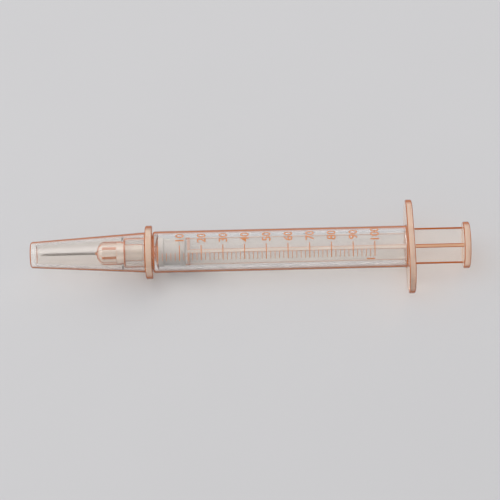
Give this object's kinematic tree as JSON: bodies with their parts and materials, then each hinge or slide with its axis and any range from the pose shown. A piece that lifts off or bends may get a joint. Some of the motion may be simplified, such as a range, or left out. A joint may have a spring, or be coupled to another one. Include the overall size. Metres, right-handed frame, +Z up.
{
  "type": "insulin syringe",
  "caption": "Disposable one-millilitre insulin syringe with a fixed needle, a see-through needle shield, a finger flange and a plunger that slides and turns.",
  "frame": {"origin": "under the middle of the syringe's length and width, on the surface that it lies on", "axes": "+X along the syringe's axis from the needle shield's closed tip to the thumb plate, +Y along the finger flange, +Z up"},
  "size_m": [0.0816, 0.019, 0.01],
  "materials": {
    "barrel_clear": "clear moulded polypropylene",
    "hub_natural": "natural moulded polypropylene",
    "needle_steel": "drawn and ground stainless steel",
    "bond_glue": "cured clear adhesive",
    "shield_tint": "orange-tinted see-through moulded polyethylene",
    "stopper": "matt synthetic rubber with a silicone film",
    "rod_tint": "lightly tinted translucent moulded polypropylene"
  },
  "bodies": {
    "barrel": {"barrel": "barrel_clear", "needle_hub": "hub_natural", "needle_cannula": "needle_steel", "hub_adhesive": "bond_glue"},
    "piston": {"piston": "stopper"},
    "rod": {"plunger_rod": "rod_tint"},
    "shield": {"needle_shield": "shield_tint"}
  },
  "joints": [
    {"name": "plunger_slide", "type": "slide", "parent": "barrel", "child": "piston", "axis": [1, 0, 0], "range_m": [0, 0.0407]},
    {"name": "rod_turn", "type": "hinge", "parent": "piston", "child": "rod", "pos_m": [0, 0, 0.005], "axis": [1, 0, 0], "continuous": true},
    {"name": "shield_pull", "type": "slide", "parent": "barrel", "child": "shield", "axis": [-1, 0, 0], "range_m": [0, 0.03]}
  ]
}
